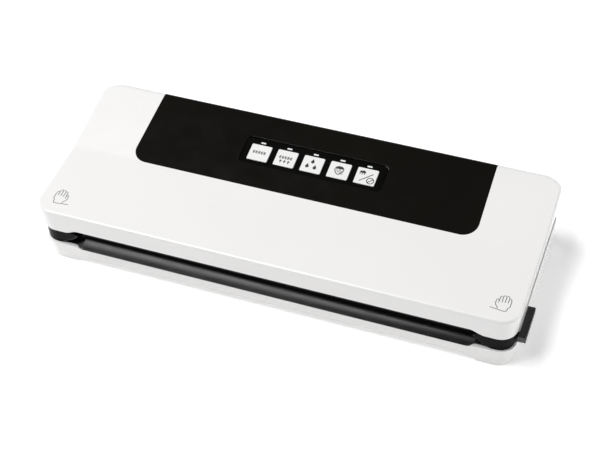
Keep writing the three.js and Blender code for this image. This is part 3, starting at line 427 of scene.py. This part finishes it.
def cap(bm, loop, stations):
    """Closes a loop over the lid's top: a level front part, a soft crease and a rising back part."""
    levels = [CREASE + step for step in CREASE_STEPS]
    right = [next(i for i, s in enumerate(stations) if s[2] == 1 and s[1] == level) for level in levels]
    left = [next(i for i, s in enumerate(stations) if s[2] == -1 and s[1] == level) for level in levels]
    bm.faces.new([loop[i] for i in range(left[0], len(loop))] + [loop[i] for i in range(right[0] + 1)])
    bm.faces.new([loop[i] for i in range(right[-1], left[-1] + 1)])
    for k in range(len(levels) - 1):
        bm.faces.new((loop[left[k]], loop[right[k]], loop[right[k + 1]], loop[left[k + 1]]))


def lid_shell_mesh():
    """The lid's shell: loops of points from its outer top, down its outside and up its inside."""
    stations = outline_stations()
    bm = bmesh.new()
    sections = [lid_section(station) for station in stations]
    loops = []
    for depth, which in ((0.0, 0), (LID_WALL, 1)):
        for level in range(len(sections[0][which])):
            loop = []
            for (x, y, nx, ny), section in zip(stations, sections):
                inset, z = section[which][level]
                px, py = x - nx * inset, y - ny * inset
                z = height(py) - depth if z is None else z
                loop.append(bm.verts.new((px * MM, py * MM, z * MM)))
            loops.append(loop)
    for loop_a, loop_b in zip(loops, loops[1:]):
        bridge(bm, loop_a, loop_b)
    cap(bm, loops[0], stations)
    cap(bm, loops[-1], stations)
    return bm


def panel_slab(inset, depth, rise, low_edge):
    """A slab that follows the lid's rising top and wraps down its back, from a depth below the top
    surface to a rise above it, in the outline of the control panel moved in by inset."""
    centre_y = HALF_DEPTH - BACK_ROUND
    centre_z = height(centre_y) - BACK_ROUND / math.cos(TILT)
    line = []
    for k in range(13):
        phi = math.radians(90 * k / 12)
        y = CREASE + inset + PANEL_CORNER * (1 - math.cos(phi))
        half = PANEL_HALF - inset - PANEL_CORNER * (1 - math.sin(phi))
        z = LID_TOP + (y - CREASE) * math.tan(TILT)
        line.append((half, y, z, -math.sin(TILT), math.cos(TILT)))
    for k in range(CORNER_STEPS + 1):
        angle = (math.pi / 2 + TILT) * (1 - k / CORNER_STEPS)
        ny, nz = math.cos(angle), math.sin(angle)
        half = PANEL_BACK_HALF - inset
        line.append((half, centre_y + BACK_ROUND * ny, centre_z + BACK_ROUND * nz, ny, nz))
    line.append((PANEL_FOOT_HALF - inset, HALF_DEPTH, low_edge, 1, 0))
    bm = bmesh.new()
    rows = []
    for half, y, z, ny, nz in line:
        row = []
        for side, offset in ((-1, rise), (1, rise), (1, -depth), (-1, -depth)):
            corner = Vector((side * half, y + ny * offset, z + nz * offset))
            row.append(bm.verts.new(corner * MM))
        rows.append(row)
    for row_a, row_b in zip(rows, rows[1:]):
        bridge(bm, row_a, row_b)
    bm.faces.new(rows[0])
    bm.faces.new(rows[-1][::-1])
    return bm


def keypad_window():
    """A cutter for the window in the lid and panel that the keypad lies in."""
    width, depth, corner = 112.2, 25.1, 4.0
    middle_x, middle_y = 1.4, 31.75
    outline = rounded_rect(width, depth, corner, middle_x, middle_y)
    return make_object("window_tool", prism(outline, -10, 10, KEY_FRAME))


def build_lid():
    lid = make_object("lid_shell_skin", lid_shell_mesh())
    pocket = make_object("pocket_tool", panel_slab(0.0, POCKET_DEPTH, 6.0, PANEL_LOW_EDGE))
    carve(lid, pocket, keypad_window())
    finish_piece(lid, "lid", "white_shell", replaced=("lid_shell",), smooth_angle=28.0)
    weigh_normals(lid)

    slab = panel_slab(PANEL_GAP, PANEL_DEPTH, 0.0, PANEL_LOW_EDGE + 0.1)
    panel = make_object("control_panel_skin", slab)
    carve(panel, keypad_window())
    soften(panel, 0.18)
    finish_piece(panel, "lid", "black_gloss", replaced=("control_panel",))
    weigh_normals(panel)


# ---------------------------------------------------------------- other casing pieces

EDGE_ANGLE = 40.0  # edges sharper than this, in degrees, are rounded

# Pieces that keep the CAD shape but get rounded edges: radius in mm and steps
REFINED = {
    "base_shell": (0.7, 3),
    "keypad_bezel": (0.15, 2),
    "release_button": (0.9, 3),
    "key_seal": (0.5, 3),
    "key_vacuum_seal": (0.5, 3),
    "key_moist": (0.5, 3),
    "key_gentle": (0.5, 3),
    "key_stop": (0.5, 3),
    "drip_tray": (0.3, 2),
    "equipment_cover": (0.6, 2),
    "lid_liner": (0.5, 2),
}


def clean_copy(node, name):
    """A new object with a CAD node's mesh, its flat faces whole again."""
    bm = bmesh.new()
    bm.from_mesh(frame["nodes"][node].data)
    bmesh.ops.remove_doubles(bm, verts=bm.verts, dist=0.002 * MM)
    bmesh.ops.dissolve_limit(bm, angle_limit=math.radians(0.4), verts=bm.verts, edges=bm.edges)
    return make_object(name, bm, Matrix.Identity(4))


def refine(node, width_mm, segments):
    """Makes a piece that stands for a CAD node, with its sharp edges rounded."""
    thing = clean_copy(node, node + "_skin")
    soften(thing, width_mm, segments, EDGE_ANGLE)
    finish_piece(thing, BODY_OF[node], SLOT_OF[node], replaced=(node,))
    weigh_normals(thing)


def dress_nodes(replaced):
    """Gives the CAD nodes that stay as they are the material of their slot."""
    for node, thing in frame["nodes"].items():
        if node in replaced:
            continue
        for holder in thing.material_slots:
            holder.material = MATERIALS[SLOT_OF[node]]


# ---------------------------------------------------------------- deck front

# The scoop seen from the side: a flat arc's radius and centre, then a tighter arc from a level up
SCOOP_RADIUS = 22.0
SCOOP_Y = -74.4
SCOOP_Z = 37.9
SCOOP_TURN = 20.0
SCOOP_TIGHT = 5.0
SCOOP_LOW = 15.5  # level of its lower end
SCOOP_HEIGHT = 10.5
RIM_DEPTH = 2.5  # depth of the deck's upright rim behind the lid's front
RIM_WIDTH = 2.5
RIM_TOP = 29.0
DECK_TOP = 25.0
DECK_UNDER = 22.0
DECK_WALL = 3.0
FRONT_SPAN = 167.0  # half length of the part of the deck's front that is drawn afresh
FRONT_BACK = 16.3  # depth of that part, from the lid's front
LIP_DEPTH = 0.9
FLARE_END = 167.0  # where the scoop ends at the bottom
FLARE = 14.0  # how much sooner it ends at the top
CLOSING = 8.0  # length over which it closes
STRAIGHT_HALF = 138.0  # half length of the stretch without bends
RIM_RISE = (149.0, 154.0)  # where along the front the deck's top rises to the rim
SEAT_RISE = (146.0, 155.0)  # where its lower edge rises with the base's edge
SEAT_LOW = 15.9
SEAT_HIGH = 17.7
FRONT_STEPS = 30


def seat_level(x):
    """Level of the deck's lower front edge, which follows the base's edge with a small gap."""
    return SEAT_LOW + (SEAT_HIGH - SEAT_LOW) * along_front(x, SEAT_RISE)


def arc_depth(radius, rise):
    """How far an arc reaches back, at a height from its centre."""
    return math.sqrt(max(radius ** 2 - rise ** 2, 0.0))


def open_depth(z):
    """Depth of the scoop's surface at a level: a flat arc that turns up into a tighter one."""
    if z <= SCOOP_TURN:
        return SCOOP_Y + arc_depth(SCOOP_RADIUS, z - SCOOP_Z) + HALF_DEPTH
    rise = SCOOP_TURN - SCOOP_Z
    run = arc_depth(SCOOP_RADIUS, rise)
    share = 1 - SCOOP_TIGHT / SCOOP_RADIUS
    y, level = SCOOP_Y + run * share, SCOOP_Z + rise * share
    return y + arc_depth(SCOOP_TIGHT, min(z - level, 0.0)) + HALF_DEPTH


def scoop_depth(x, z):
    """Depth of the deck's front surface behind the lid's front; the scoop's ends flare at the bottom."""
    end = FLARE_END - FLARE * smoothstep((z - SCOOP_LOW) / SCOOP_HEIGHT)
    closing = smoothstep((abs(x) - end + CLOSING) / CLOSING)
    return RIM_DEPTH + (max(open_depth(z), LIP_DEPTH) - RIM_DEPTH) * (1 - closing)


def front_section(x):
    """Closed side view of the deck's front at one place along it, as (depth, level)."""
    low = seat_level(x)
    top = DECK_TOP + (RIM_TOP - DECK_TOP) * along_front(x, RIM_RISE)
    section = []
    for k in range(FRONT_STEPS + 1):
        z = low + (top - low) * k / FRONT_STEPS
        section.append((scoop_depth(x, z), z))
    rim_back = min(scoop_depth(x, top) + RIM_WIDTH, FRONT_BACK - 0.2)
    step = DECK_TOP - 0.05
    section += [(rim_back, top), (rim_back + 0.05, step), (FRONT_BACK, step), (FRONT_BACK, DECK_UNDER + 0.6)]
    for k in range(8):
        z = DECK_UNDER + (low - DECK_UNDER) * k / 7
        section.append((min(scoop_depth(x, z) + DECK_WALL, FRONT_BACK - 0.3), z))
    return section


def deck_front_mesh():
    """The deck's front with the finger scoop, from side views set along it."""
    straight = [-STRAIGHT_HALF + 2 * STRAIGHT_HALF * k / 12 for k in range(13)]
    reach = FRONT_SPAN - STRAIGHT_HALF
    ends = [STRAIGHT_HALF + reach * k / FRONT_STEPS for k in range(1, FRONT_STEPS + 1)]
    bm = bmesh.new()
    rows = []
    for x in [-x for x in reversed(ends)] + straight + ends:
        points = [Vector((x, depth - HALF_DEPTH, z)) for depth, z in front_section(x)]
        rows.append([bm.verts.new(point * MM) for point in points])
    for row_a, row_b in zip(rows, rows[1:]):
        bridge(bm, row_a, row_b)
    bm.faces.new(rows[0])
    bm.faces.new(rows[-1][::-1])
    return bm


def paint_rim(front):
    """Gives the outer faces of the deck's upright rim their duller black."""
    front.data.materials.append(RIM_BLACK)
    for polygon in front.data.polygons:
        outermost = polygon.center.y < (RIM_DEPTH + 0.4 - HALF_DEPTH) * MM
        if outermost and abs(polygon.normal.x) < 0.2 and polygon.normal.y < -0.9:
            polygon.material_index = 1


def build_deck():
    """The deck in two pieces: the CAD shape without its front, and the front drawn afresh."""
    deck = clean_copy("base_deck", "base_deck_body")
    span, back = FRONT_SPAN - 0.01, FRONT_BACK - HALF_DEPTH - 0.01
    ahead = -HALF_DEPTH - 5
    outline = [(-span, ahead), (span, ahead), (span, back), (-span, back)]
    carve(deck, make_object("front_tool", prism(outline, 5, 40)))
    soften(deck, 0.3, 2, 50.0)
    finish_piece(deck, "base", "black_gloss", RIM_BLACK, replaced=("base_deck",))
    weigh_normals(deck)
    front = make_object("base_deck_front", deck_front_mesh())
    finish_piece(front, "base", "black_gloss", DECK_BLACK, replaced=("base_deck",), smooth_angle=38.0)
    paint_rim(front)


# ---------------------------------------------------------------- printed marks

def strokes(name, lines, width, level, thickness, place, body, slot, material):
    """Printed lines: each is a list of points in mm, closed where its first and last points agree."""
    bm = bmesh.new()
    for points in lines:
        closed = (Vector(points[0]) - Vector(points[-1])).length < 1e-6
        if closed:
            points = points[:-1]
        count = len(points)
        rows = []
        for i, point in enumerate(points):
            before = Vector(points[i - 1] if closed or i else points[i])
            after = Vector(points[(i + 1) % count] if closed or i < count - 1 else points[i])
            along = (after - before).normalized()
            across = Vector((-along.y, along.x)) * width / 2
            corners = [Vector(point) + across, Vector(point) - across]
            row = [bm.verts.new(place @ Vector((c.x, c.y, level + thickness))) for c in corners]
            row += [bm.verts.new(place @ Vector((c.x, c.y, level))) for c in reversed(corners)]
            rows.append(row)
        for row_a, row_b in zip(rows, rows[1:]):
            bridge(bm, row_a, row_b)
        if closed:
            bridge(bm, rows[-1], rows[0])
        else:
            bm.faces.new(rows[0])
            bm.faces.new(rows[-1][::-1])
    finish_piece(make_object(name, bm), body, slot, material)


def circle(x, y, radius, steps=20):
    turns = [2 * math.pi * k / steps for k in range(steps + 1)]
    points = [(x + radius * math.cos(a), y + radius * math.sin(a)) for a in turns]
    return points[:-1] + [points[0]]


def drop(x, y, size):
    """A drop outline whose point is up, about its round part's centre."""
    points = [(x, y + 2.1 * size)]
    for k in range(13):
        angle = math.radians(30 - 240 * k / 12)
        points.append((x + size * math.cos(angle), y + size * math.sin(angle)))
    return points


def seal_marks(y):
    """A row of five small marks, like a sealed seam."""
    marks = []
    for i in range(5):
        x = 2.15 * (i - 2)
        left, right = x - 0.6, x + 0.5
        marks.append([(right, y + 1.0), (left, y + 1.0), (left, y - 1.0), (right, y - 1.0)])
        marks.append([(x - 0.3, y), (x + 0.7, y)])
    return marks


def arrows_up(y, size):
    lines = []
    barb = 0.7 * size
    for x in (-3.2, -0.1, 3.0):
        lines.append([(x, y - size), (x, y + barb)])
        lines.append([(x - barb, y + 0.2 * size), (x, y + size), (x + barb, y + 0.2 * size)])
    return lines


def fruit_outline():
    half = [(0.0, -3.9), (1.5, -3.0), (2.8, -1.3), (3.4, 0.6), (3.3, 1.7)]
    return half + [(-x, y) for x, y in reversed(half[1:])]


def no_entry(x, y, radius):
    reach = radius * 0.7
    return [circle(x, y, radius), [(x - reach, y - reach), (x + reach, y + reach)]]


# Parts of the marks, in mm from the key's middle
DROP = 1.35
FRUIT_CAP = [
    (-3.5, 1.5), (-2.1, 0.9), (-0.8, 1.6), (0.4, 0.7), (1.4, 1.6),
    (3.4, 1.2), (3.0, 2.8), (1.5, 3.8), (-1.1, 3.9), (-2.9, 2.9),
]
FRUIT_SEEDS = [
    [(x + 0.5 * row, 0.2 - 1.3 * row), (x + 0.5 * row, -0.5 - 1.3 * row)]
    for row in range(3)
    for x in (-2.1, -1.05, 0.0, 1.05, 2.1)[row:]
]
LEAF = [
    (-6.0, 3.1), (-5.2, 4.5), (-3.9, 4.3), (-2.8, 5.0), (-1.6, 4.2), (-0.7, 3.0), (-2.0, 2.4), (-4.1, 2.6),
]
STEMS = [[(-5.0, 2.8), (-5.3, 1.1)], [(-3.6, 2.7), (-3.6, 0.9)], [(-2.0, 2.7), (-1.6, 1.2)]]
SLASH = [(-4.1, -4.9), (4.9, 3.1)]

# Each key's mark, as lines and as filled outlines
KEY_MARKS = {
    "key_seal": (seal_marks(0.2), []),
    "key_vacuum_seal": (seal_marks(0.6) + arrows_up(-3.3, 1.3), []),
    "key_moist": ([], [drop(-0.3, 2.2, DROP), drop(-3.4, -2.4, DROP), drop(2.6, -2.8, DROP)]),
    "key_gentle": ([fruit_outline() + [fruit_outline()[0]]] + FRUIT_SEEDS, [FRUIT_CAP]),
    "key_stop": (STEMS + no_entry(4.1, -3.4, 2.6) + [SLASH], [LEAF]),
}
LINE_WIDTH = 0.68
HAND_WIDTH = 0.6
INK_THICKNESS = 0.03


def print_keys():
    for (key, (lines, shapes)), x in zip(KEY_MARKS.items(), KEY_CENTRES):
        place = KEY_FRAME @ Matrix.Translation((x, KEY_ROW, 0))
        if lines:
            name = key + "_lines"
            strokes(name, lines, LINE_WIDTH, KEY_FACE, INK_THICKNESS, place, BODY_OF[key], "black_matte", INK)
        for number, shape in enumerate(shapes):
            thing = make_object(f"{key}_shape_{number}", prism(shape, KEY_FACE, KEY_FACE + 0.04, place))
            finish_piece(thing, BODY_OF[key], "black_matte", INK)


# A hand laid flat, in mm from its middle, with the first coordinate towards the middle of the lid
HAND_EDGE = [
    (-2.0, -7.0), (-2.7, -5.5), (-2.8, -3.9), (-4.1, -2.4), (-4.2, 1.6), (-3.8, 4.2),
    (-2.9, 4.9), (-2.3, 4.4), (-1.7, 6.3), (-0.9, 7.0), (-0.1, 5.6), (0.8, 6.7),
    (1.7, 6.6), (2.2, 5.2), (3.3, 5.9), (4.1, 5.0), (4.1, 2.4), (4.5, -0.6),
]
HAND_LINES = [
    HAND_EDGE,
    [(-2.3, 4.4), (-1.9, 0.8)],
    [(-0.1, 5.6), (0.1, 0.7)],
    [(2.2, 5.2), (2.1, 0.4)],
    [(4.3, 1.6), (5.2, 2.6), (6.0, 2.3), (6.3, -1.0), (5.8, -2.8), (4.5, -4.1), (3.9, -5.6)],
    [(-2.0, -7.0), (0.2, -6.9), (2.6, -6.7), (4.4, -6.3), (6.7, -6.2), (9.2, -5.8)],
]
HAND_X = {"left": -167.5, "right": 169.0}
HAND_Y = -53.0


def print_hands():
    """The two hands printed on the front corners of the lid, which show where to press."""
    for name, x in HAND_X.items():
        inward = -1 if x > 0 else 1
        place = Matrix.Scale(MM, 4) @ Matrix.Translation((x, HAND_Y, 0))
        lines = [[(inward * u, v) for u, v in line] for line in HAND_LINES]
        strokes(f"hand_mark_{name}", lines, HAND_WIDTH, LID_TOP, 0.02, place, "lid", "silicone", INK_GREY)


# ---------------------------------------------------------------- camera, lights and floor

def make_camera():
    data = bpy.data.cameras.new("camera")
    data.lens = 85.5
    data.sensor_width = 36.0
    data.clip_start = 0.05
    data.clip_end = 20.0
    camera = bpy.data.objects.new("camera", data)
    right = Vector((0.93966, 0.33952, -0.042))
    down = Vector((0.22071, -0.69542, -0.68387))
    forward = Vector((-0.2614, 0.63333, -0.7284))
    place = Matrix.Translation((0.2792, -0.6748, 0.7966))
    turn = Matrix((right, -down, -forward)).transposed().to_4x4()
    camera.matrix_world = TO_CASING @ place @ turn
    scene.collection.objects.link(camera)
    scene.camera = camera


def aim(thing, place, target):
    direction = Vector(target) - Vector(place)
    turn = direction.to_track_quat("-Z", "Y").to_matrix().to_4x4()
    thing.matrix_world = Matrix.Translation(place) @ turn


def soft_light(name, place, target, size, power):
    data = bpy.data.lights.new(name, "AREA")
    data.shape = "RECTANGLE"
    data.size, data.size_y = size
    data.energy = power
    light = bpy.data.objects.new(name, data)
    scene.collection.objects.link(light)
    aim(light, place, target)


def make_studio():
    world = bpy.data.worlds.new("studio")
    world.use_nodes = True
    background = world.node_tree.nodes["Background"]
    background.inputs["Color"].default_value = (1.0, 1.0, 1.0, 1.0)
    background.inputs["Strength"].default_value = 0.06
    scene.world = world
    soft_light("key_light", (-1.0, -0.25, 2.3), (0.0, 0.0, 0.03), (1.9, 1.2), 75.0)
    soft_light("front_light", (-1.25, -1.1, 1.85), (0.0, 0.0, 0.03), (1.2, 1.3), 2.0)
    soft_light("side_light", (1.8, 0.25, 0.62), (0.1, 0.0, 0.02), (1.4, 0.8), 15.0)
    scene.view_settings.view_transform = "Standard"


def make_floor():
    """A pale floor with a faint glow of its own, which keeps shadows light."""
    bm = bmesh.new()
    bmesh.ops.create_grid(bm, x_segments=8, y_segments=8, size=4.0)
    floor = make_object("floor", bm)
    material = bpy.data.materials.new("floor")
    material.use_nodes = True
    shader = material.node_tree.nodes["Principled BSDF"]
    shader.inputs["Base Color"].default_value = (0.97, 0.97, 0.97, 1.0)
    shader.inputs["Roughness"].default_value = 0.95
    shader.inputs["Emission Color"].default_value = (1.0, 1.0, 1.0, 1.0)
    shader.inputs["Emission Strength"].default_value = 0.3
    floor.data.materials.append(material)


# ---------------------------------------------------------------- the object

build_lid()
for refined, (bevel, steps) in REFINED.items():
    refine(refined, bevel, steps)
build_deck()
dress_nodes({"lid_shell", "control_panel", "base_deck", *REFINED})
print_keys()
print_hands()
make_camera()
make_studio()
make_floor()
